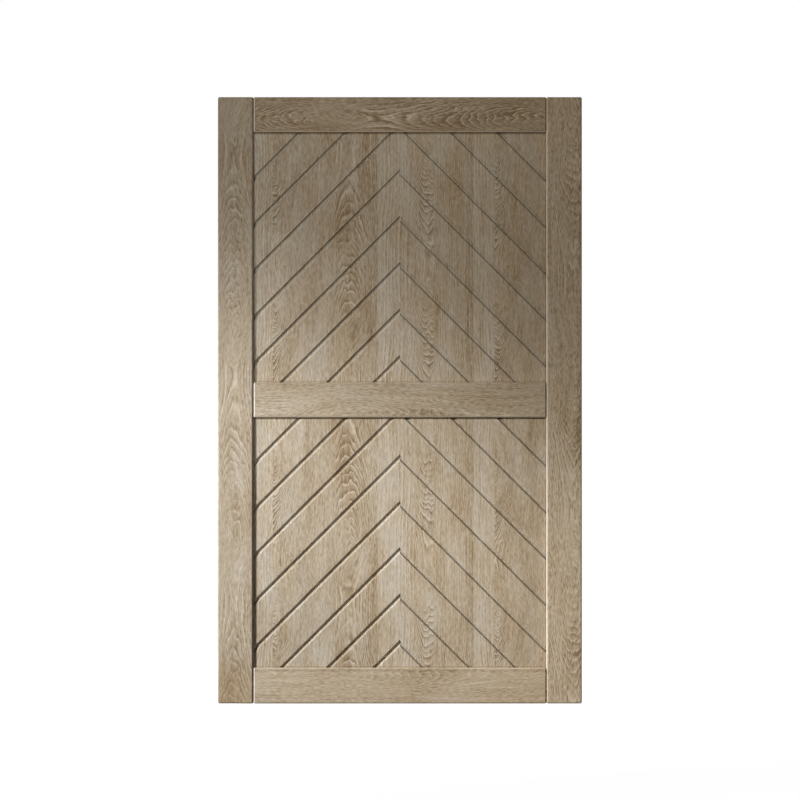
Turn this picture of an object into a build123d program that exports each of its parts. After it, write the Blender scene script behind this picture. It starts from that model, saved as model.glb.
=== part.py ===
from build123d import *

import os
from math import ceil, cos, floor, radians, sin, tan

# A framed barn door: stiles and rails hold two sunk panels, each routed with a chevron pattern on both faces.
# Millimetres. The origin is the middle of the door's top edge and +Z is up, so the door hangs below it.
# The front faces -Y, and +X is to the right seen from the front.

# The door slab, a stock 48 by 80 in size, 1-3/4 in thick
DOOR_WIDTH = 1219.2
DOOR_HEIGHT = 2032.0
DOOR_THICKNESS = 44.5

# The framing boards and the chamfers that ease their edges
STILE_WIDTH = 119.0
TOP_RAIL_HEIGHT = 117.0
MIDDLE_RAIL_HEIGHT = 117.0
BOTTOM_RAIL_HEIGHT = 119.5
STILE_INNER_EASE = 6.0
BOARD_EASE = 3.5

# The panel sheets, which float in slots in the inner edges of the boards
PANEL_THICKNESS = 20.0
PANEL_CLEARANCE = 0.2
PANEL_EXPANSION_GAP = 1.5
SLOT_DEPTH = 12.0

# Stub tenons on the rails: they fill the stiles' slots between the panels and stop short of the door's ends
TENON_END_GAP = 1.0
TENON_EDGE_SHOULDER = 25.0

# The chevron grooves: flat floor, sloping walls, peaks pointing up on the door's centre line
GROOVE_WIDTH = 16.0
GROOVE_FLOOR = 5.0
GROOVE_DEPTH = 7.0
CHEVRON_PITCH = 110.0
CHEVRON_ANGLE = 45.0
FIRST_PEAK_DROP = 134.5

# The groove along the bottom edge that runs over a floor guide's fin
GUIDE_GROOVE_WIDTH = 8.0
GUIDE_GROOVE_DEPTH = 18.0

# Sizes that follow from the ones above
opening_width = DOOR_WIDTH - 2 * STILE_WIDTH
opening_height = (DOOR_HEIGHT - TOP_RAIL_HEIGHT - MIDDLE_RAIL_HEIGHT - BOTTOM_RAIL_HEIGHT) / 2
upper_opening_top = -TOP_RAIL_HEIGHT
middle_rail_top = upper_opening_top - opening_height
lower_opening_top = middle_rail_top - MIDDLE_RAIL_HEIGHT
bottom_rail_top = lower_opening_top - opening_height
slot_width = PANEL_THICKNESS + 2 * PANEL_CLEARANCE
tongue_depth = SLOT_DEPTH - PANEL_EXPANSION_GAP
tenon_length = SLOT_DEPTH - TENON_END_GAP
stile_slot_stop = TENON_EDGE_SHOULDER - TENON_END_GAP


def cut_guide_groove():
    """Cut the floor guide's groove across whatever board is being built."""
    with Locations((0, 0, -DOOR_HEIGHT)):
        Box(2 * DOOR_WIDTH, GUIDE_GROOVE_WIDTH, 2 * GUIDE_GROOVE_DEPTH, mode=Mode.SUBTRACT)


def inner_uprights(stile):
    """The two upright edges of a stile that are nearest to the door's centre line."""
    return stile.edges().filter_by(Axis.Z).sort_by(lambda edge: abs(edge.center().X))[:2]


def make_stile(label, side):
    """One upright board, at the left (side -1) or the right (side +1), slotted along its inner edge."""
    inner_edge_x = side * opening_width / 2
    with BuildPart() as stile:
        with Locations((inner_edge_x + side * STILE_WIDTH / 2, 0, -DOOR_HEIGHT / 2)):
            Box(STILE_WIDTH, DOOR_THICKNESS, DOOR_HEIGHT)
        chamfer(stile.edges() - inner_uprights(stile), length=BOARD_EASE)
        chamfer(inner_uprights(stile), length=STILE_INNER_EASE)
        with Locations((inner_edge_x, 0, -DOOR_HEIGHT / 2)):
            Box(2 * SLOT_DEPTH, slot_width, DOOR_HEIGHT - 2 * stile_slot_stop, mode=Mode.SUBTRACT)
        cut_guide_groove()
    stile.part.label = label
    return stile.part


def make_rail(label, top, height, panel_above, panel_below):
    """One cross board between the stiles, slotted where it meets a panel, with a stub tenon at each end."""
    slot_edges = [top] * panel_above + [top - height] * panel_below
    tenon_top = top - (SLOT_DEPTH if panel_above else TENON_EDGE_SHOULDER)
    tenon_bottom = top - height + (SLOT_DEPTH if panel_below else TENON_EDGE_SHOULDER)
    with BuildPart() as rail:
        with Locations((0, 0, top - height / 2)):
            Box(opening_width, DOOR_THICKNESS, height)
        chamfer(rail.edges(), length=BOARD_EASE)
        for slot_edge in slot_edges:
            with Locations((0, 0, slot_edge)):
                Box(opening_width, slot_width, 2 * SLOT_DEPTH, mode=Mode.SUBTRACT)
        with Locations((0, 0, (tenon_top + tenon_bottom) / 2)):
            Box(opening_width + 2 * tenon_length, PANEL_THICKNESS, tenon_top - tenon_bottom)
        if not panel_below:
            cut_guide_groove()
    rail.part.label = label
    return rail.part


def chevron_peaks(opening_top):
    """Heights of the peaks whose grooves cross an opening, leaving out one that would only nick a corner."""
    slope = tan(radians(CHEVRON_ANGLE))
    pitch_on_centre_line = CHEVRON_PITCH / cos(radians(CHEVRON_ANGLE))
    lowest_drop = opening_height - GROOVE_WIDTH
    highest_drop = GROOVE_WIDTH - slope * opening_width / 2
    first = ceil((highest_drop - FIRST_PEAK_DROP) / pitch_on_centre_line)
    last = floor((lowest_drop - FIRST_PEAK_DROP) / pitch_on_centre_line)
    return [opening_top - FIRST_PEAK_DROP - count * pitch_on_centre_line for count in range(first, last + 1)]


def cut_chevron(peak_z, facing):
    """Rout one chevron, mitred at its peak, into the front (facing -1) or the back (facing +1) of a sheet."""
    angle = radians(CHEVRON_ANGLE)
    face_y = facing * PANEL_THICKNESS / 2
    run = opening_width / 2 + SLOT_DEPTH + 2 * GROOVE_WIDTH
    foot_z = peak_z - run * tan(angle)
    wall_run = (GROOVE_WIDTH - GROOVE_FLOOR) / 2
    half_floor = GROOVE_FLOOR / 2
    half_above = GROOVE_WIDTH / 2 + wall_run
    outward = -facing * GROOVE_DEPTH
    with BuildLine() as route:
        Polyline((-run, face_y, foot_z), (0, face_y, peak_z), (run, face_y, foot_z))
    cutter_plane = Plane(
        origin=(-run, face_y, foot_z),
        x_dir=(-sin(angle), 0, cos(angle)),
        z_dir=(cos(angle), 0, sin(angle)),
    )
    with BuildSketch(cutter_plane) as cutter:
        with BuildLine():
            Polyline(
                (-half_floor, -outward),
                (half_floor, -outward),
                (half_above, outward),
                (-half_above, outward),
                close=True,
            )
        make_face()
    sweep(cutter.sketch, path=route.line, transition=Transition.RIGHT, mode=Mode.SUBTRACT)


def make_panel(label, opening_top):
    """One sheet that fills an opening and reaches into the slots around it."""
    with BuildPart() as panel:
        with Locations((0, 0, opening_top - opening_height / 2)):
            Box(opening_width + 2 * tongue_depth, PANEL_THICKNESS, opening_height + 2 * tongue_depth)
        for facing in (-1, 1):
            for peak_z in chevron_peaks(opening_top):
                cut_chevron(peak_z, facing)
    panel.part.label = label
    return panel.part


door = [
    make_stile("left_stile", -1),
    make_stile("right_stile", 1),
    make_rail("top_rail", 0, TOP_RAIL_HEIGHT, panel_above=False, panel_below=True),
    make_rail("middle_rail", middle_rail_top, MIDDLE_RAIL_HEIGHT, panel_above=True, panel_below=True),
    make_rail("bottom_rail", bottom_rail_top, BOTTOM_RAIL_HEIGHT, panel_above=True, panel_below=False),
    make_panel("upper_panel", upper_opening_top),
    make_panel("lower_panel", lower_opening_top),
]

os.makedirs("parts", exist_ok=True)
for piece in door:
    export_step(piece, f"parts/{piece.label}.step")
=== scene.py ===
# %% [markdown]
# A framed barn door in limed oak. Two stiles and three rails hold two sunk panels, and each panel is
# routed with chevron grooves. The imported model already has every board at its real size, so this lesson
# adds what the model lacks: the grain and finish of the oak, a plain studio, and a camera.

import bpy
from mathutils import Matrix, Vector


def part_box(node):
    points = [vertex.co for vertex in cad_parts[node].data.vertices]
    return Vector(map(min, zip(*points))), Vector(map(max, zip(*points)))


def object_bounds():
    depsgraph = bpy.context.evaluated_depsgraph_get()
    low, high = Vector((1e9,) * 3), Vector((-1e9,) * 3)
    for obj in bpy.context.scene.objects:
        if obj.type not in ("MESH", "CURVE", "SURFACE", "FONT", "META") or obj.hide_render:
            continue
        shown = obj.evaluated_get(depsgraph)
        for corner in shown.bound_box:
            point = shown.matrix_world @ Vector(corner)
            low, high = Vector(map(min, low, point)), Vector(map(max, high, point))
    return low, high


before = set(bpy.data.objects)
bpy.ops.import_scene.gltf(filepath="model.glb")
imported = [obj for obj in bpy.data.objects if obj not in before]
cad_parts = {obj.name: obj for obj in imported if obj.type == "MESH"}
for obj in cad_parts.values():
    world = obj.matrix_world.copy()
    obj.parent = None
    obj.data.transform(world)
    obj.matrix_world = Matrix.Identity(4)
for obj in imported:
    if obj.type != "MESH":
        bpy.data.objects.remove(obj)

cad_low, cad_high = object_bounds()
scene = bpy.context.scene
scene.view_settings.view_transform = "Standard"
print("door", [round(high - low, 4) for low, high in zip(cad_low, cad_high)])

# %% [markdown]
# The picture is taken square to the door from far away, so nothing converges. An orthographic camera would
# do that too, but a long lens keeps a trace of real depth. Its distance follows from how many metres of
# the door one pixel covers.

# %% Camera
PICTURE_SIZE = 800.0
METRES_PER_PIXEL = 0.00335
DOOR_CENTRE_PIXEL = (399.9, 400.3)
LENS_MM = 120.0
SENSOR_MM = 36.0

front_y = cad_low[1]
camera_distance = METRES_PER_PIXEL * PICTURE_SIZE * LENS_MM / SENSOR_MM
aim_x = (PICTURE_SIZE / 2 - DOOR_CENTRE_PIXEL[0]) * METRES_PER_PIXEL
aim_z = (cad_low[2] + cad_high[2]) / 2 + (DOOR_CENTRE_PIXEL[1] - PICTURE_SIZE / 2) * METRES_PER_PIXEL


def aim(thing, target):
    """Turn a camera or a lamp so that it looks at a point."""
    towards = Vector(target) - thing.location
    thing.rotation_euler = towards.to_track_quat("-Z", "Y").to_euler()


camera_data = bpy.data.cameras.new("camera")
camera_data.lens = LENS_MM
camera_data.sensor_width = SENSOR_MM
camera = bpy.data.objects.new("camera", camera_data)
scene.collection.objects.link(camera)
camera.location = (aim_x, front_y - camera_distance, aim_z)
aim(camera, (aim_x, 0.0, aim_z))
scene.camera = camera
print("camera", round(camera_distance, 3), "m from the door")

# %% [markdown]
# Every finish below is a tree of shader nodes. A tree could be wired by hand, one link at a time, but that
# soon hides what it does. A few small helpers keep it readable: one adds a node and fills its inputs with
# numbers or with links, the next three do arithmetic, soft steps and colour mixing, and the last two start
# a node group and put one to use.

# %% Node helpers
MIX_FACTOR, MIX_FIRST, MIX_SECOND, MIX_RESULT = 0, 6, 7, 2


def add_node(tree, kind, values=(), **settings):
    """Add a shader node. A value is a number, a colour or a socket to link, by the input's name or number."""
    node = tree.nodes.new("ShaderNode" + kind)
    for name, setting in settings.items():
        setattr(node, name, setting)
    for key, value in dict(values).items():
        if isinstance(value, bpy.types.NodeSocket):
            tree.links.new(value, node.inputs[key])
        else:
            node.inputs[key].default_value = value
    return node


def calc(tree, operation, *values):
    """The result of a Math node."""
    return add_node(tree, "Math", enumerate(values), operation=operation).outputs[0]


def smooth_step(tree, value, low, high):
    """0 below low, 1 above high, and smooth between; the other way round if high is the lower one."""
    inputs = {"Value": value, "From Min": low, "From Max": high, "To Min": 0.0, "To Max": 1.0}
    return add_node(tree, "MapRange", inputs, interpolation_type="SMOOTHSTEP").outputs[0]


def mix_colours(tree, factor, first, second, blend="MIX"):
    """The result of a colour Mix node."""
    inputs = {MIX_FACTOR: factor, MIX_FIRST: first, MIX_SECOND: second}
    return add_node(tree, "Mix", inputs, data_type="RGBA", blend_type=blend).outputs[MIX_RESULT]


def new_group(name, inputs, outputs):
    """An empty node group, its input sockets to read from, and its output sockets to link to."""
    tree = bpy.data.node_groups.new(name, "ShaderNodeTree")
    for title, kind, default in inputs:
        socket = tree.interface.new_socket(title, in_out="INPUT", socket_type="NodeSocket" + kind)
        socket.default_value = default
    for title, kind in outputs:
        tree.interface.new_socket(title, in_out="OUTPUT", socket_type="NodeSocket" + kind)
    entry = tree.nodes.new("NodeGroupInput")
    ending = tree.nodes.new("NodeGroupOutput")
    return tree, entry.outputs, ending.inputs


def place_group(tree, group, values):
    """Put a node group into a material with its inputs filled, and hand back its outputs."""
    return add_node(tree, "Group", values, node_tree=group).outputs


print("node helpers ready")

# %% [markdown]
# The door hangs a finger's width over a pale floor, in front of a white surround. More light would turn
# them white, but it would bleach the wood too. So both show white only to the camera, and to anything
# glossy, while every other ray meets a plain dim surface. Near the door the floor's white is held back a
# little and some real paint is added, and the door's shadow shows in that paint.

# %% Floor
FLOOR_GAP = 0.012
FLOOR_SIZE = 60.0
FLOOR_PAINT = 0.12
SHADOW_FULL = 1.0
SHADOW_REACH = 2.5
NEAR_WHITE = 0.9
NEAR_PAINT = 0.3


def seen_directly(tree):
    """A factor that is 1 for camera, glossy and transmission rays."""
    path = add_node(tree, "LightPath").outputs
    camera_or_gloss = calc(tree, "MAXIMUM", path["Is Camera Ray"], path["Is Glossy Ray"])
    return calc(tree, "MAXIMUM", camera_or_gloss, path["Is Transmission Ray"])


def make_floor_material():
    """White to the camera, with real paint near the door to take its shadow."""
    material = bpy.data.materials.new("pale_floor")
    material.use_nodes = True
    tree = material.node_tree
    tree.nodes.clear()
    place = add_node(tree, "NewGeometry").outputs["Position"]
    from_door = add_node(tree, "VectorMath", {0: place, 1: (0.0, 0.0, cad_low[2])}, operation="DISTANCE")
    near = smooth_step(tree, from_door.outputs["Value"], SHADOW_REACH, SHADOW_FULL)
    white_level = calc(tree, "SUBTRACT", 1.0, calc(tree, "MULTIPLY", near, 1.0 - NEAR_WHITE))
    paint_level = calc(tree, "MULTIPLY", near, NEAR_PAINT)
    white = add_node(tree, "Emission", {"Strength": white_level}).outputs[0]
    shaded = add_node(tree, "BsdfDiffuse", {"Color": paint_level}).outputs[0]
    shown = add_node(tree, "AddShader", {0: white, 1: shaded}).outputs[0]
    paint = add_node(tree, "BsdfDiffuse", {"Color": (FLOOR_PAINT, FLOOR_PAINT, FLOOR_PAINT, 1)}).outputs[0]
    mix = add_node(tree, "MixShader", {0: seen_directly(tree), 1: paint, 2: shown}).outputs[0]
    add_node(tree, "OutputMaterial", {"Surface": mix})
    return material


def lay_floor():
    """Lay one large flat floor just under the door, and hand back its level."""
    half = FLOOR_SIZE / 2
    level = cad_low[2] - FLOOR_GAP
    corners = [(-half, -half, level), (half, -half, level), (half, half, level), (-half, half, level)]
    mesh = bpy.data.meshes.new("floor")
    mesh.from_pydata(corners, [], [(0, 1, 2, 3)])
    mesh.materials.append(make_floor_material())
    floor = bpy.data.objects.new("floor", mesh)
    scene.collection.objects.link(floor)
    return level


print("floor at", round(lay_floor(), 3))

# %% [markdown]
# The surround is the world itself. A painted wall behind the door would catch its shadow and hide its back,
# so the world shows white instead, and gives the wood only a faint warm light from all sides.

# %% Surround
ROOM_LIGHT = 0.03
ROOM_COLOUR = (1.10, 1.0, 0.86, 1)


def make_surround():
    """White to the camera, and a faint warm light to everything else."""
    world = bpy.data.worlds.new("white_surround")
    scene.world = world
    world.use_nodes = True
    tree = world.node_tree
    tree.nodes.clear()
    room = add_node(tree, "Background", {"Color": ROOM_COLOUR, "Strength": ROOM_LIGHT}).outputs[0]
    white = add_node(tree, "Background", {"Color": (1, 1, 1, 1), "Strength": 1.0}).outputs[0]
    mix = add_node(tree, "MixShader", {0: seen_directly(tree), 1: room, 2: white}).outputs[0]
    add_node(tree, "OutputWorld", {"Surface": mix})
    return world


print("surround", make_surround().name)

# %% [markdown]
# Two soft spots light the front, both from the left. One lamp alone would leave either the grooves flat or
# the top black. The key stands far round to the side and its cone falls on the lower two thirds of the
# door, so each groove there shows a dark wall and a bright one. The fill stands nearer the camera and
# lights the upper half, and it leaves the top and the right edge darker. A broad lamp behind lights the
# back for anyone who walks round.

# %% Lamps
DAYLIGHT = (0.98, 1.0, 1.03)
LAMPLIGHT = (1.03, 1.0, 0.96)


def hang_lamp(name, kind, place, target, watts, colour):
    """Hang a lamp and aim it; the camera never sees the lamp itself."""
    data = bpy.data.lights.new(name, kind)
    data.energy = watts
    data.color = colour
    lamp = bpy.data.objects.new(name, data)
    scene.collection.objects.link(lamp)
    lamp.location = place
    lamp.visible_camera = False
    aim(lamp, target)
    return data


def hang_spot(name, cone, blend, radius, **lamp):
    """Hang a soft spot, with its cone in radians."""
    data = hang_lamp(name, "SPOT", **lamp)
    data.spot_size = cone
    data.spot_blend = blend
    data.shadow_soft_size = radius


hang_spot(
    "key_lamp", cone=1.344, blend=0.411, radius=0.35,
    place=(-4.16, -2.81, 0.09), target=(-2.01, 0.0, -3.11), watts=1430.0, colour=DAYLIGHT,
)
hang_spot(
    "fill_lamp", cone=1.381, blend=0.727, radius=0.3,
    place=(-1.66, -2.79, 0.33), target=(1.5, 0.0, -0.21), watts=172.0, colour=LAMPLIGHT,
)
back = hang_lamp(
    "back_lamp", "AREA", place=(2.2, 3.0, -0.3), target=(0.0, 0.0, -1.1), watts=120.0, colour=DAYLIGHT,
)
back.size = 2.0
print("lamps", [lamp.name for lamp in bpy.data.lights])

# %% [markdown]
# Wood is never quite regular, so its grain needs noise at the scale of each thing that varies. A noise node
# counts in its own units. The first helper divides by a cell size in metres instead, so that a value can be
# read as a size on the board. The other two draw a curve by a few stops, for what changes along a board.

# %% Noise and curves
NOISE_ROUGHNESS = 0.6


def centred_noise(tree, vector, cell, seed, detail):
    """Smooth noise around zero, with one blotch to each cell of the given size in metres."""
    scaled = add_node(tree, "VectorMath", {0: vector, 1: cell}, operation="DIVIDE").outputs[0]
    inputs = {"Vector": scaled, "W": seed, "Scale": 1.0, "Detail": detail, "Roughness": NOISE_ROUGHNESS}
    noise = add_node(tree, "TexNoise", inputs, noise_dimensions="4D").outputs[0]
    return calc(tree, "MULTIPLY_ADD", noise, 2.0, -1.0)


def set_stops(ramp_node, stops):
    """Give a colour ramp its stops, each a position and a colour."""
    elements = ramp_node.color_ramp.elements
    for number, (position, colour) in enumerate(stops):
        stop = elements[number] if number < len(elements) else elements.new(position)
        stop.position = position
        stop.color = colour


def grey_ramp(tree, value, stops, between="LINEAR"):
    """A grey read from a list of (position, grey) stops, with a straight or a smooth line between them."""
    node = add_node(tree, "ValToRGB", {0: value})
    node.color_ramp.interpolation = between
    set_stops(node, [(position, (grey, grey, grey, 1)) for position, grey in stops])
    return node.outputs["Color"]


print("noise and curves ready")

# %% [markdown]
# Oak shows its growth rings. A board is a flat cut through a trunk, and where the cut runs close to the
# heart the rings come out as nested arches, while further off they are straight lines along the board.
# A wave texture gives lines but no arches. So the group works the cut out: it takes a place in the board,
# finds how far it is from the wavering heart of the trunk, and counts rings. Along each arch the heart
# sinks away from the face and comes back, forks in two at one end, and leaves some zones darker than others.
# The distance is handed on too, because the fibres follow the rings.

# %% The heart of the trunk
ARCH_LENGTH = 0.757
HEART_DEPTH = 0.024
HEART_SPLIT = 0.011
SPLIT_EASE = 0.003
SINKING = [(0.0, 0.02), (0.30, 0.58), (0.50, 0.70), (0.84, 1.05), (1.0, 0.02)]
FORK = [(0.0, 1.0), (0.31, 1.0), (0.47, 0.0), (1.0, 0.0)]


def heart_distance(tree, aside, through, phase, rise):
    """How far a place is from the heart, which sinks and forks along each arch."""
    eased = calc(tree, "SQRT", calc(tree, "MULTIPLY_ADD", aside, aside, SPLIT_EASE ** 2))
    fork = calc(tree, "MULTIPLY", grey_ramp(tree, phase, FORK, "B_SPLINE"), HEART_SPLIT)
    forked = calc(tree, "SUBTRACT", eased, fork)
    depth = calc(tree, "ADD", through, HEART_DEPTH)
    below = calc(tree, "MULTIPLY_ADD", rise, grey_ramp(tree, phase, SINKING, "B_SPLINE"), depth)
    squares = calc(tree, "MULTIPLY_ADD", below, below, calc(tree, "MULTIPLY", forked, forked))
    return calc(tree, "SQRT", squares)


print("heart", HEART_DEPTH, "m deep, arches", ARCH_LENGTH, "m long")

# %% [markdown]
# The rings themselves are the distance divided by a ring's width, and each ring is drawn by one profile:
# a pale line, then a dark one, then the plain wood between. Real rings differ in width and come and go, so
# noise stretches the count, and a slow noise fades the lines out in places.

# %% Growth rings
WAVER_CELL = (0.045, 0.045, 0.16)
RIPPLE_CELL = (0.014, 0.014, 0.055)
FADE_CELL = (0.035, 0.035, 0.14)
PHASE_WAVER = 0.05
RIPPLE_SHARE = 0.3
WAVER_SHARE = 0.5
UNEVEN_SCALE = 0.45
RING_PROFILE = [(0.0, 0.46), (0.14, 1.0), (0.34, 0.08), (0.68, 0.42), (1.0, 0.46)]
RING_MEAN = 0.45
SHOWN = [(0.0, 0.2), (0.06, 1.0), (0.76, 1.0), (0.86, 0.0), (1.0, 0.0)]
STRAIGHT_FROM = (0.05, 0.12)
FADE_FROM = (-0.35, 0.25)
FADE_GAIN = 1.5
FADED_LEVEL = 0.4
ZONES = [(0.0, 0.6), (0.25, 0.5), (0.36, 0.1), (0.52, 0.2), (0.60, 0.9), (0.80, 0.8), (1.0, 0.6)]
ZONE_MEAN = 0.5
ZONE_REACH = 0.07
FLOW_BEND = 0.5


def ring_lines(tree, given, radius, wave):
    """The pale and dark lines of the rings, around zero."""
    wavy = calc(tree, "MULTIPLY_ADD", wave, given["Waver"], radius)
    count = calc(tree, "DIVIDE", wavy, given["Ring Width"])
    inputs = {"W": count, "Scale": UNEVEN_SCALE, "Detail": 1.0}
    uneven = add_node(tree, "TexNoise", inputs, noise_dimensions="1D").outputs[0]
    count = calc(tree, "ADD", uneven, count)
    return calc(tree, "SUBTRACT", grey_ramp(tree, calc(tree, "FRACT", count), RING_PROFILE), RING_MEAN)


def ring_strength(tree, given, sideways, phase):
    """How clearly the rings show: on most of each arch, on straight grain, and less where they fade."""
    blotches = centred_noise(tree, given["Place"], FADE_CELL, given["Seed"], detail=1.0)
    fade = smooth_step(tree, blotches, *FADE_FROM)
    shown = calc(tree, "MAXIMUM", smooth_step(tree, sideways, *STRAIGHT_FROM), grey_ramp(tree, phase, SHOWN))
    return calc(tree, "MULTIPLY", shown, calc(tree, "MULTIPLY_ADD", fade, FADE_GAIN, FADED_LEVEL))


def make_growth_rings():
    """A group that gives ring lines, the flow of the fibres and darker zones."""
    tree, given, made = new_group(
        "growth_rings",
        [
            ("Place", "Vector", (0, 0, 0)),
            ("Heart", "Float", 0.0),
            ("Rise", "Float", 0.1),
            ("Arch Length", "Float", ARCH_LENGTH),
            ("Arch Shift", "Float", 0.0),
            ("Ring Width", "Float", 0.0045),
            ("Waver", "Float", 0.008),
            ("Seed", "Float", 0.0),
        ],
        [("Lines", "Float"), ("Flow", "Float"), ("Zone", "Float")],
    )
    across, through, along = add_node(tree, "SeparateXYZ", {0: given["Place"]}).outputs
    waver = centred_noise(tree, given["Place"], WAVER_CELL, given["Seed"], detail=2.0)
    ripple = centred_noise(tree, given["Place"], RIPPLE_CELL, given["Seed"], detail=1.0)
    turn = calc(tree, "DIVIDE", calc(tree, "ADD", along, given["Arch Shift"]), given["Arch Length"])
    phase = calc(tree, "FRACT", calc(tree, "MULTIPLY_ADD", waver, PHASE_WAVER, turn))
    aside = calc(tree, "SUBTRACT", across, given["Heart"])
    aside = calc(tree, "MULTIPLY_ADD", waver, given["Waver"], aside)
    sideways = calc(tree, "ABSOLUTE", aside)
    radius = heart_distance(tree, aside, through, phase, given["Rise"])
    wave = calc(tree, "MULTIPLY_ADD", ripple, RIPPLE_SHARE, calc(tree, "MULTIPLY", waver, WAVER_SHARE))
    strength = ring_strength(tree, given, sideways, phase)
    bend = calc(tree, "SUBTRACT", radius, sideways)
    zone = calc(tree, "SUBTRACT", grey_ramp(tree, phase, ZONES), ZONE_MEAN)
    near = smooth_step(tree, sideways, ZONE_REACH, 0.0)
    tree.links.new(calc(tree, "MULTIPLY", ring_lines(tree, given, radius, wave), strength), made["Lines"])
    tree.links.new(calc(tree, "MULTIPLY_ADD", bend, FLOW_BEND, aside), made["Flow"])
    tree.links.new(calc(tree, "MULTIPLY", zone, near), made["Zone"])
    return tree


growth_rings = make_growth_rings()
print("growth_rings has", len(growth_rings.nodes), "nodes")

# %% [markdown]
# Between the rings oak is full of long pores, and liming fills them with white. At arm's length they read
# as fine pale and dark streaks along the grain. Single pores could be modelled, but there are far too many.
# The group stretches noise along the fibres at two scales instead: short pores a few millimetres wide, and
# longer bands that make one part of a board paler than another.

# %% Fibre streaks
PORE_CELL = (0.0032, 0.0032, 0.018)
BAND_CELL = (0.008, 0.008, 0.22)


def make_fibre_streaks():
    """A group that gives fine pores and long bands, both along the rings."""
    tree, given, made = new_group(
        "fibre_streaks",
        [("Place", "Vector", (0, 0, 0)), ("Flow", "Float", 0.0), ("Seed", "Float", 0.0)],
        [("Pores", "Float"), ("Bands", "Float")],
    )
    parts = add_node(tree, "SeparateXYZ", {0: given["Place"]}).outputs
    along_rings = add_node(tree, "CombineXYZ", {0: given["Flow"], 1: parts["Y"], 2: parts["Z"]}).outputs[0]
    tree.links.new(centred_noise(tree, along_rings, PORE_CELL, given["Seed"], detail=3.0), made["Pores"])
    tree.links.new(centred_noise(tree, along_rings, BAND_CELL, given["Seed"], detail=2.0), made["Bands"])
    return tree


fibre_streaks = make_fibre_streaks()
print("fibre_streaks has", len(fibre_streaks.nodes), "nodes")

# %% [markdown]
# The limed finish is a grey-brown stain with white rubbed into the grain. A colour for each board would look
# painted. One group turns a tone into its colour instead, from the brown of bare grain through the stain to
# chalky lime. It warms or greys the colour in patches as large as a hand, because stain never takes evenly,
# and makes the door a little warmer towards its right side.

# %% Limed stain
GRAIN_BROWN = (0.265, 0.186, 0.110, 1)
STAIN = (0.508, 0.412, 0.290, 1)
LIME = (0.710, 0.610, 0.475, 1)
WARM_TINT = (1.05, 0.99, 0.90, 1)
GREY_TINT = (0.96, 1.0, 1.07, 1)
PATCH_CELL = (0.06, 0.06, 0.20)
PATCH_TONE = 0.25
WARMER_RIGHT = 0.8


def door_place(tree):
    """A place in the door's own frame: across, through and up."""
    return add_node(tree, "SeparateXYZ", {0: add_node(tree, "TexCoord").outputs["Object"]}).outputs


def make_limed_stain():
    """A group in which a tone of 0 is bare grain, 0.5 is plain stain and 1 is lime."""
    tree, given, made = new_group(
        "limed_stain",
        [
            ("Place", "Vector", (0, 0, 0)),
            ("Tone", "Float", 0.5),
            ("Warmth", "Float", 0.0),
            ("Patchiness", "Float", 1.0),
            ("Seed", "Float", 0.0),
        ],
        [("Colour", "Color")],
    )
    patches = centred_noise(tree, given["Place"], PATCH_CELL, given["Seed"], detail=2.0)
    patches = calc(tree, "MULTIPLY", patches, given["Patchiness"])
    tone = calc(tree, "MULTIPLY_ADD", patches, PATCH_TONE, given["Tone"])
    darker = mix_colours(tree, calc(tree, "MULTIPLY", tone, 2.0), GRAIN_BROWN, STAIN)
    stained = mix_colours(tree, calc(tree, "MULTIPLY_ADD", tone, 2.0, -1.0), darker, LIME)
    warmth = calc(tree, "SUBTRACT", given["Warmth"], patches)
    warmth = calc(tree, "MULTIPLY_ADD", door_place(tree)["X"], WARMER_RIGHT, warmth)
    warm_share = calc(tree, "MULTIPLY_ADD", warmth, 0.5, 0.5)
    tint = mix_colours(tree, warm_share, GREY_TINT, WARM_TINT)
    tree.links.new(mix_colours(tree, 1.0, stained, tint, "MULTIPLY"), made["Colour"])
    return tree


limed_stain = make_limed_stain()
print("limed_stain has", len(limed_stain.nodes), "nodes")

# %% [markdown]
# The boards' edges are eased. The left and lower edges inside the frame are painted pale, partly as lime
# that sits thicker there and partly as a painted highlight. In the very corner, where one piece meets the
# next, a painted shade darkens the joint. An edge mask from the mesh would find every edge alike. So a group
# measures how far a place is from its board's left and lower edges, and turns the distance into masks for
# the pale edges and for the painted shade.

# %% Edges and corners
EDGE_REACH = 0.005
LOWER_REACH = 0.0038
PALE_EDGE_DEPTH = 0.0065
JOINT_SHADE_REACH = 0.0018
EDGE_FADE = 0.0006


def make_eased_edges():
    """A group that gives masks for the pale edges, lime with a painted highlight, and for painted shade in a
    corner.
    """
    tree, given, made = new_group(
        "eased_edges",
        [("Left Edge", "Float", 0.0), ("Lower Edge", "Float", 0.0), ("Reach", "Float", EDGE_REACH)],
        [("Left Lime Highlight", "Float"), ("Lower Lime Highlight", "Float"), ("Joint Shade", "Float")],
    )
    x, y, z = door_place(tree)
    depth = calc(tree, "SUBTRACT", cad_high[1], calc(tree, "ABSOLUTE", y))
    on_edge = smooth_step(tree, depth, PALE_EDGE_DEPTH + EDGE_FADE, PALE_EDGE_DEPTH)
    from_left = calc(tree, "SUBTRACT", x, given["Left Edge"])
    from_below = calc(tree, "SUBTRACT", z, given["Lower Edge"])
    full = calc(tree, "SUBTRACT", given["Reach"], EDGE_FADE)
    left_pale = smooth_step(tree, from_left, given["Reach"], full)
    lower_pale = smooth_step(tree, from_below, LOWER_REACH, LOWER_REACH - EDGE_FADE)
    tree.links.new(calc(tree, "MULTIPLY", left_pale, on_edge), made["Left Lime Highlight"])
    tree.links.new(calc(tree, "MULTIPLY", lower_pale, on_edge), made["Lower Lime Highlight"])
    # Painted shade in the corner beside the left edge.
    tree.links.new(smooth_step(tree, from_left, JOINT_SHADE_REACH, JOINT_SHADE_REACH - EDGE_FADE), made["Joint Shade"])
    return tree


eased_edges = make_eased_edges()
print("eased_edges has", len(eased_edges.nodes), "nodes")

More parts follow.
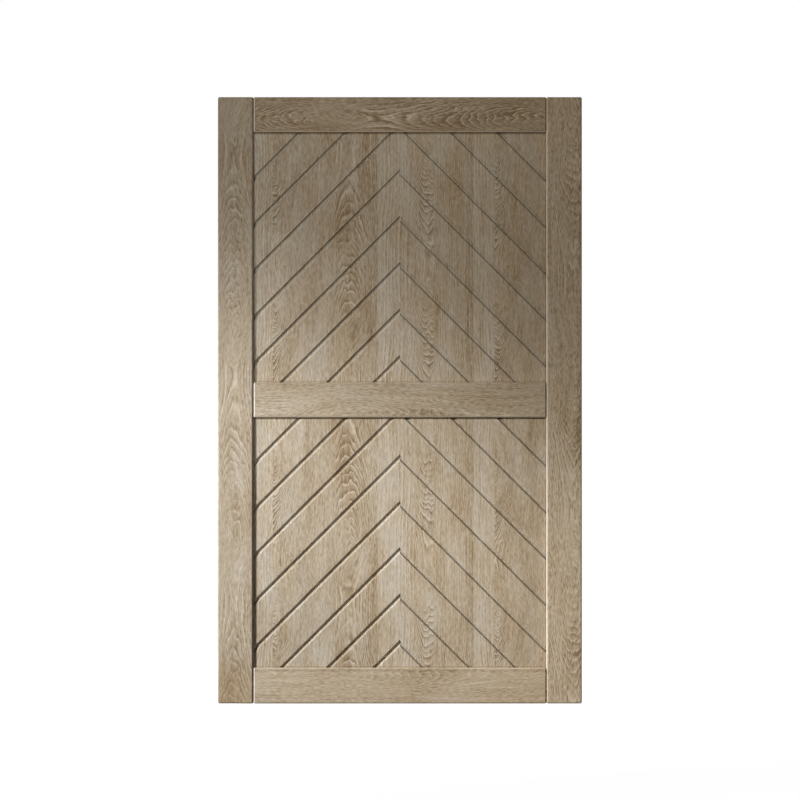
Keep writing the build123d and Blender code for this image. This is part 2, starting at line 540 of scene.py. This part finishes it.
# %% [markdown]
# All the oak shares one surface. It is matt, a little smoother where the grain is raised, and its pores and
# rings are felt as a fine relief. That relief is less than half a millimetre deep, so a bump in the shader
# does it, and the boards keep their true flat faces. The helpers here start an oak material, lay the grain
# of one cut of wood into it, and finish it.

# %% The oak's surface
LINE_STRENGTH = 0.36
PORE_STRENGTH = 0.80
BAND_STRENGTH = 0.32
ZONE_STRENGTH = 0.22
OAK_ROUGHNESS = 0.65
RAISED_POLISH = -0.08
OAK_GLOSS = 0.15
LINE_RELIEF = 0.4
GRAIN_HEIGHT = 0.0004
BUMP_STRENGTH = 0.5


def new_oak(name):
    """A fresh oak material with its shader and the plain settings that all the oak shares."""
    material = bpy.data.materials.new(name)
    material.use_nodes = True
    shader = material.node_tree.nodes["Principled BSDF"]
    shader.inputs["Specular IOR Level"].default_value = OAK_GLOSS
    return material, material.node_tree, shader


def lay_grain(tree, place, cut, waver, seed):
    """The growth rings and the fibre streaks of one cut of oak."""
    rings = place_group(tree, growth_rings, {
        "Place": place, "Heart": cut["heart"], "Rise": cut["rise"], "Arch Length": cut["arch"],
        "Arch Shift": cut["shift"], "Ring Width": cut["ring"], "Waver": waver, "Seed": seed,
    })
    fibres = place_group(tree, fibre_streaks, {"Place": place, "Flow": rings["Flow"], "Seed": seed})
    return rings, fibres


def figure_tone(tree, rings, fibres, figure):
    """How much paler or darker the rings, the pores and the bands make a place."""
    tone = calc(tree, "MULTIPLY", rings["Lines"], calc(tree, "MULTIPLY", figure, LINE_STRENGTH))
    tone = calc(tree, "MULTIPLY_ADD", fibres["Pores"], PORE_STRENGTH, tone)
    tone = calc(tree, "MULTIPLY_ADD", fibres["Bands"], BAND_STRENGTH, tone)
    return calc(tree, "MULTIPLY_ADD", rings["Zone"], ZONE_STRENGTH, tone)


def finish_oak(tree, shader, colour, rings, fibres):
    """Link the colour, and let the grain's relief set the roughness and a fine bump."""
    tree.links.new(colour, shader.inputs["Base Color"])
    relief = calc(tree, "MULTIPLY_ADD", rings["Lines"], LINE_RELIEF, fibres["Pores"])
    rough = calc(tree, "MULTIPLY_ADD", relief, RAISED_POLISH, OAK_ROUGHNESS)
    tree.links.new(rough, shader.inputs["Roughness"])
    bump = add_node(tree, "Bump", {"Strength": BUMP_STRENGTH, "Distance": GRAIN_HEIGHT, "Height": relief})
    tree.links.new(bump.outputs[0], shader.inputs["Normal"])


def coat(name, material):
    """Give a whole node of the door one material."""
    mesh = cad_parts[name].data
    mesh.materials.clear()
    mesh.materials.append(material)


print("grain relief", GRAIN_HEIGHT, "m")

# %% [markdown]
# A few marks belong to single boards. The right stile is darker in a strip along its outer edge, the foot
# of the left stile is darkened with painted shade, and a thin line of painted shade lies below the upper
# edge of the bottom rail. The edges that lie inside the door are painted pale, partly lime and partly
# painted highlight, and the corner at each rail's left end is darkened with painted shade. The three marks
# could be groups too, but only one board wears each of them, so they are short functions.

# %% Marks on single boards
# The two pale edge colours are lime with a painted highlight.
EDGE_LIME_AND_HIGHLIGHT = (0.80, 0.745, 0.67, 1)
LOWER_LIME_AND_HIGHLIGHT = (0.74, 0.61, 0.43, 1)
# The corner colour is painted shade in the joint.
JOINT_PAINTED_SHADE = (0.40, 0.37, 0.33, 1)
OUTLINE_SKIP = 0.03
# A darker strip along the right stile's outer edge.
OUTER_STRIP_EDGE = 0.043
OUTER_STRIP_FADE = 0.001
OUTER_STRIP_TONE = -0.09
# The foot colour is painted shade.
FOOT_PAINTED_SHADE = (0.88, 0.80, 0.69, 1)
FOOT_FROM = (-0.84, -0.93)
FOOT_RAGGED = 0.08
# The line colour is painted shade.
SHADE_LINE_TINT = (0.83, 0.82, 0.80, 1)
LINE_BEGINS = (0.0040, 0.0055)
LINE_ENDS = (0.0135, 0.0115)


def darken_outer_strip(tree, place, tone):
    """Lower the tone in a strip along a stile's outer edge."""
    across = add_node(tree, "SeparateXYZ", {0: place}).outputs["X"]
    darkened = smooth_step(tree, across, OUTER_STRIP_EDGE, OUTER_STRIP_EDGE + OUTER_STRIP_FADE)
    return calc(tree, "MULTIPLY_ADD", darkened, OUTER_STRIP_TONE, tone)


def tint_where(tree, mask, colour, tint):
    """Multiply a colour by a tint where a mask shows."""
    tinted = mix_colours(tree, 1.0, colour, tint, "MULTIPLY")
    return mix_colours(tree, mask, colour, tinted)


def paint_foot_shade(tree, place, fibres, colour):
    """Darken the foot of a stile as painted shade, with a ragged upper border."""
    along = add_node(tree, "SeparateXYZ", {0: place}).outputs["Z"]
    ragged = calc(tree, "MULTIPLY_ADD", fibres["Bands"], FOOT_RAGGED, along)
    return tint_where(tree, smooth_step(tree, ragged, *FOOT_FROM), colour, FOOT_PAINTED_SHADE)


def paint_shade_line(tree, name, colour):
    """Draw the thin line of painted shade below a rail's upper edge."""
    drop = calc(tree, "SUBTRACT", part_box(name)[1][2], door_place(tree)["Z"])
    mask = calc(tree, "MULTIPLY", smooth_step(tree, drop, *LINE_BEGINS), smooth_step(tree, drop, *LINE_ENDS))
    return tint_where(tree, mask, colour, SHADE_LINE_TINT)


def dress_edges(tree, name, colour, reach):
    """Paint the left and lower edges inside the door pale, as lime and painted highlight, and paint shade
    into the corner at a rail's left end.
    """
    low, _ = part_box(name)
    on_outline = low[2] - cad_low[2] < OUTLINE_SKIP
    edges = place_group(tree, eased_edges, {
        "Left Edge": max(low[0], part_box("left_stile")[1][0]),
        "Lower Edge": low[2] - (OUTLINE_SKIP if on_outline else 0.0),
        "Reach": reach,
    })
    # The pale edges are lime with a painted highlight.
    lime_highlighted = mix_colours(tree, edges["Lower Lime Highlight"], colour, LOWER_LIME_AND_HIGHLIGHT)
    lime_highlighted = mix_colours(tree, edges["Left Lime Highlight"], lime_highlighted, EDGE_LIME_AND_HIGHLIGHT)
    if not name.endswith("_rail"):
        return lime_highlighted
    # Painted shade in the corner at the rail's left end.
    joint_shaded = mix_colours(tree, 1.0, colour, JOINT_PAINTED_SHADE, "MULTIPLY")
    return mix_colours(tree, edges["Joint Shade"], lime_highlighted, joint_shaded)


print("lipping strip from", OUTER_STRIP_EDGE, "m off the stile's middle")

# %% [markdown]
# Each framing board gets its own oak, because each was sawn from another place in the trunk: the grain
# runs up a stile and along a rail, and the heart, the arches and the seed differ. The left stile was cut
# over the heart and is full of arches. The right one has its heart towards its outer edge. The top rail is
# wild and the other two rails are calm. One shared material would repeat the same figure on every board,
# so one function makes five materials from two small tables.

# %% Framing boards
# The lime column is how far the pale edges reach; they are lime with a painted highlight.
FRAMING_BOARDS = {
    "left_stile": {"heart": -0.006, "arch": ARCH_LENGTH, "shift": 0.482, "figure": 1.2, "lime": 0.0},
    "right_stile": {"heart": 0.031, "arch": -ARCH_LENGTH, "shift": 0.558, "figure": 0.8, "lime": 0.0033},
    "top_rail": {"heart": -0.012, "arch": -ARCH_LENGTH, "shift": 0.277, "figure": 1.5, "lime": EDGE_REACH},
    "middle_rail": {"heart": -0.057, "arch": ARCH_LENGTH, "shift": 0.213, "figure": 0.7, "lime": EDGE_REACH},
    "bottom_rail": {"heart": 0.045, "arch": ARCH_LENGTH, "shift": 0.213, "figure": 0.6, "lime": 0.0040},
}
STAIN_TAKEN = {
    "left_stile": {"tone": 0.465, "warmth": 0.0, "contrast": 0.88},
    "right_stile": {"tone": 0.60, "warmth": 0.4, "contrast": 1.5},
    "top_rail": {"tone": 0.375, "warmth": 0.35, "contrast": 1.25},
    "middle_rail": {"tone": 0.475, "warmth": 0.05, "contrast": 1.1},
    "bottom_rail": {"tone": 0.55, "warmth": 0.6, "contrast": 1.15},
}
BOARD_CUT = {"rise": 0.09, "ring": 0.0048}
BOARD_WAVER = 0.006
FIRST_SEED = 1.7
SEED_STEP = 3.1


def grain_place(tree, low, high):
    """Where a point is in its board: across the grain, through it and along it, from the board's middle."""
    middle = [(a + b) / 2 for a, b in zip(low, high)]
    place = add_node(tree, "TexCoord").outputs["Object"]
    offset = add_node(tree, "VectorMath", {0: place, 1: middle}, operation="SUBTRACT").outputs[0]
    if high[2] - low[2] > high[0] - low[0]:
        return offset
    x, y, z = add_node(tree, "SeparateXYZ", {0: offset}).outputs
    return add_node(tree, "CombineXYZ", {0: z, 1: y, 2: x}).outputs[0]


def make_board_oak(name, board, taken, seed):
    """The oak of one framing board, with its own grain, stain and marks."""
    material, tree, shader = new_oak(name + "_oak")
    place = grain_place(tree, *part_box(name))
    rings, fibres = lay_grain(tree, place, {**BOARD_CUT, **board}, BOARD_WAVER, seed)
    figure = figure_tone(tree, rings, fibres, board["figure"])
    tone = calc(tree, "MULTIPLY_ADD", figure, taken["contrast"], taken["tone"])
    if name == "right_stile":
        tone = darken_outer_strip(tree, place, tone)
    stain = {"Place": place, "Tone": tone, "Warmth": taken["warmth"], "Seed": seed}
    colour = place_group(tree, limed_stain, stain)["Colour"]
    # Painted shade at the foot of the left stile.
    if name == "left_stile":
        colour = paint_foot_shade(tree, place, fibres, colour)
    # A thin line of painted shade under the bottom rail's upper edge.
    if name == "bottom_rail":
        colour = paint_shade_line(tree, name, colour)
    if board["lime"]:
        colour = dress_edges(tree, name, colour, board["lime"])
    finish_oak(tree, shader, colour, rings, fibres)
    return material


for number, (name, board) in enumerate(FRAMING_BOARDS.items()):
    coat(name, make_board_oak(name, board, STAIN_TAKEN[name], FIRST_SEED + SEED_STEP * number))
print("framing boards", list(FRAMING_BOARDS))

# %% [markdown]
# A panel is one wide sheet, veneered in upright strips from several boards, so its figure changes at each
# strip's edge: pale straight-grained strips, feathered ones that were cut right beside the heart of a
# trunk, and a flamed one with the heart inside it. Each strip could be a material of its own, but the sheet
# is one piece, so two colour ramps with hard steps hand each place the traits of its strip instead. A ramp
# holds numbers from 0 to 1 in four channels, so the traits are squeezed into that range and stretched back.

# %% Veneer strips
STRIP_CUTS = {
    "straight": {"arch": -0.5, "shift": 0.69, "rise": 0.06, "figure": 0.9},
    "feathered": {"arch": -0.5, "shift": 0.69, "rise": 0.06, "figure": 2.0},
    "flamed": {"arch": ARCH_LENGTH, "shift": 0.741, "rise": 0.09, "figure": 1.5},
}
PANEL_STRIPS = [
    {"left": -0.520, "cut": "straight", "heart": -0.90, "tone": 0.60, "warmth": -0.10, "ring": 0.0100},
    {"left": -0.430, "cut": "feathered", "heart": -0.430, "tone": 0.52, "warmth": 0.10, "ring": 0.0025},
    {"left": -0.217, "cut": "flamed", "heart": -0.175, "tone": 0.43, "warmth": 0.32, "ring": 0.0048},
    {"left": -0.075, "cut": "straight", "heart": -0.80, "tone": 0.64, "warmth": 0.0, "ring": 0.0120},
    {"left": 0.050, "cut": "feathered", "heart": 0.097, "tone": 0.61, "warmth": 0.10, "ring": 0.0036},
    {"left": 0.110, "cut": "straight", "heart": 0.70, "tone": 0.55, "warmth": 0.30, "ring": 0.0070},
    {"left": 0.222, "cut": "straight", "heart": 0.80, "tone": 0.42, "warmth": 0.30, "ring": 0.0100},
    {"left": 0.243, "cut": "straight", "heart": 0.85, "tone": 0.65, "warmth": 0.04, "ring": 0.0110},
    {"left": 0.316, "cut": "feathered", "heart": 0.318, "tone": 0.54, "warmth": 0.20, "ring": 0.0025},
]
STRIP_TRAITS = [("heart", "tone", "warmth", "ring"), ("arch", "shift", "rise", "figure")]
TRAIT_RANGE = 2.0


def strip_stops(traits, left_edge, width):
    """Ramp stops at the strips' left edges, each holding four traits squeezed into 0 to 1."""
    for strip in PANEL_STRIPS:
        values = {**STRIP_CUTS[strip["cut"]], **strip}
        position = max(0.0, (strip["left"] - left_edge) / width)
        yield position, [values[trait] / (2 * TRAIT_RANGE) + 0.5 for trait in traits]


def strip_lookup(tree, across, left_edge, width):
    """The traits of the strip at a place across the panel, by name."""
    share = calc(tree, "DIVIDE", calc(tree, "SUBTRACT", across, left_edge), width)
    found = {}
    for traits in STRIP_TRAITS:
        node = add_node(tree, "ValToRGB", {0: share})
        node.color_ramp.interpolation = "CONSTANT"
        set_stops(node, strip_stops(traits, left_edge, width))
        colours = add_node(tree, "SeparateColor", {0: node.outputs["Color"]}).outputs
        for trait, channel in zip(traits, [*colours, node.outputs["Alpha"]]):
            found[trait] = calc(tree, "MULTIPLY_ADD", channel, 2 * TRAIT_RANGE, -TRAIT_RANGE)
    return found


print("veneer strips", len(PANEL_STRIPS))

# %% [markdown]
# Shade is painted on the panels where they meet the frame: a strong dark line under the two upper rails, a
# thin one beside the right stile, and a faint one where a panel stands on a rail. The grooves are painted a
# little darker and cooler with depth, partly as painted shade and partly as lime. Distances from the
# boards' boxes give the lines, and the depth below the panel's face gives the grooves.

# %% Painted shade on the panels and in the grooves
# The panel's corner colour is painted shade.
PANEL_PAINTED_SHADE = (0.47, 0.44, 0.40, 1)
UNDER_RAIL_FROM = (0.0090, 0.004)
OVER_RAIL_FROM = (0.0065, 0.004)
OVER_RAIL_SHADE = 0.38
SIDE_SHADE_REACH = 0.004
# The groove tint is partly painted shade and partly a cooler lime.
GROOVE_SHADE_AND_LIME = (0.86, 0.92, 1.0, 1)
GROOVE_RIM = 0.0005
GROOVE_DEPTH = 0.007


def painted_panel_shade(tree, across, height):
    """A mask for the painted shade on the panels: beside the right stile, under the rails and over them."""
    beside = calc(tree, "SUBTRACT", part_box("right_stile")[0][0], across)
    mask = smooth_step(tree, beside, SIDE_SHADE_REACH, 0.0)
    for name in ("top_rail", "middle_rail"):
        drop = calc(tree, "ABSOLUTE", calc(tree, "SUBTRACT", height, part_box(name)[0][2]))
        mask = calc(tree, "MAXIMUM", mask, smooth_step(tree, drop, *UNDER_RAIL_FROM))
    for name in ("middle_rail", "bottom_rail"):
        rise = calc(tree, "ABSOLUTE", calc(tree, "SUBTRACT", height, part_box(name)[1][2]))
        faint = calc(tree, "MULTIPLY", smooth_step(tree, rise, *OVER_RAIL_FROM), OVER_RAIL_SHADE)
        mask = calc(tree, "MAXIMUM", mask, faint)
    return mask


def groove_mask(tree, through, face):
    """0 on the panel's face and 1 on the floor of a groove."""
    depth = calc(tree, "SUBTRACT", face, calc(tree, "ABSOLUTE", through))
    inputs = {"Value": depth, "From Min": GROOVE_RIM, "From Max": GROOVE_DEPTH, "To Min": 0.0, "To Max": 1.0}
    return add_node(tree, "MapRange", inputs).outputs[0]


print("grooves", GROOVE_DEPTH, "m deep")

# %% [markdown]
# The two panels look as if they were cut from one veneered sheet, one above the other: the strips run on
# behind the middle rail. Two materials could break the strips there, so both panels share one.

# %% Panels
PANEL_WAVER = 0.004
PANEL_PATCHES = 1.5
PANEL_SEED = 21.3


def make_panel_oak():
    """The oak of both panels, with its strips, grooves darkened partly by painted shade, and painted shade at
    the frame.
    """
    low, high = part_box("upper_panel")
    material, tree, shader = new_oak("panel_oak")
    place = add_node(tree, "TexCoord").outputs["Object"]
    across, through, height = add_node(tree, "SeparateXYZ", {0: place}).outputs
    strip = strip_lookup(tree, across, low[0], high[0] - low[0])
    rings, fibres = lay_grain(tree, place, strip, PANEL_WAVER, PANEL_SEED)
    tone = calc(tree, "ADD", figure_tone(tree, rings, fibres, strip["figure"]), strip["tone"])
    stained = place_group(tree, limed_stain, {
        "Place": place, "Tone": tone, "Warmth": strip["warmth"],
        "Patchiness": PANEL_PATCHES, "Seed": PANEL_SEED,
    })["Colour"]
    # Painted shade and a cooler lime, stronger deeper in the grooves.
    colour = tint_where(tree, groove_mask(tree, through, high[1]), stained, GROOVE_SHADE_AND_LIME)
    # Painted shade under the rails, over them and beside the right stile.
    colour = tint_where(tree, painted_panel_shade(tree, across, height), colour, PANEL_PAINTED_SHADE)
    finish_oak(tree, shader, colour, rings, fibres)
    return material


panel_oak = make_panel_oak()
for name in ("upper_panel", "lower_panel"):
    coat(name, panel_oak)
print("panel_oak has", len(panel_oak.node_tree.nodes), "nodes")
